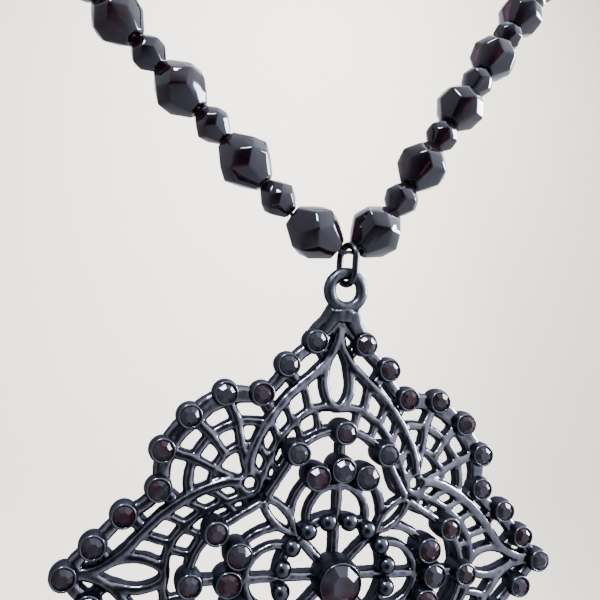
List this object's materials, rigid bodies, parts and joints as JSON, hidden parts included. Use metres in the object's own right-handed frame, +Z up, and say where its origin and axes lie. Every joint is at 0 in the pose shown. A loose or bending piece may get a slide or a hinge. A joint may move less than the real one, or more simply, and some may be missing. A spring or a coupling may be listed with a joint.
{
  "type": "statement necklace",
  "caption": "Strand of alternating large and small faceted dark glass beads with a link and a hanging pierced metal pendant set with faceted stones.",
  "frame": {"origin": "nape of the neck, at the middle of the clasp, where the necklace hangs", "axes": "+Z up, -Y towards the wearer's front, +X to the viewer's right as seen from the front"},
  "size_m": [0.1347, 0.1195, 0.1917],
  "materials": {
    "bead_glass": "opaque black glass, fire-polished facets",
    "stone_glass": "very dark garnet glass, cut and polished",
    "gunmetal": "black nickel plate on cast alloy, polished on its ridges",
    "thread": "black twisted bead thread"
  },
  "bodies": {
    "strand": {"beads_left": "bead_glass", "beads_right": "bead_glass", "thread": "thread", "clasp": "gunmetal", "link": "gunmetal"},
    "pendant": {"pendant_casting": "gunmetal", "border_stones": "stone_glass", "rosette_stones": "stone_glass", "middle_stone": "stone_glass"}
  },
  "joints": [
    {"name": "pendant_swing", "type": "hinge", "parent": "strand", "child": "pendant", "pos_m": [0.007, -0.112, -0.13036], "axis": [1, 0, 0], "range_deg": [-75, 75]}
  ]
}
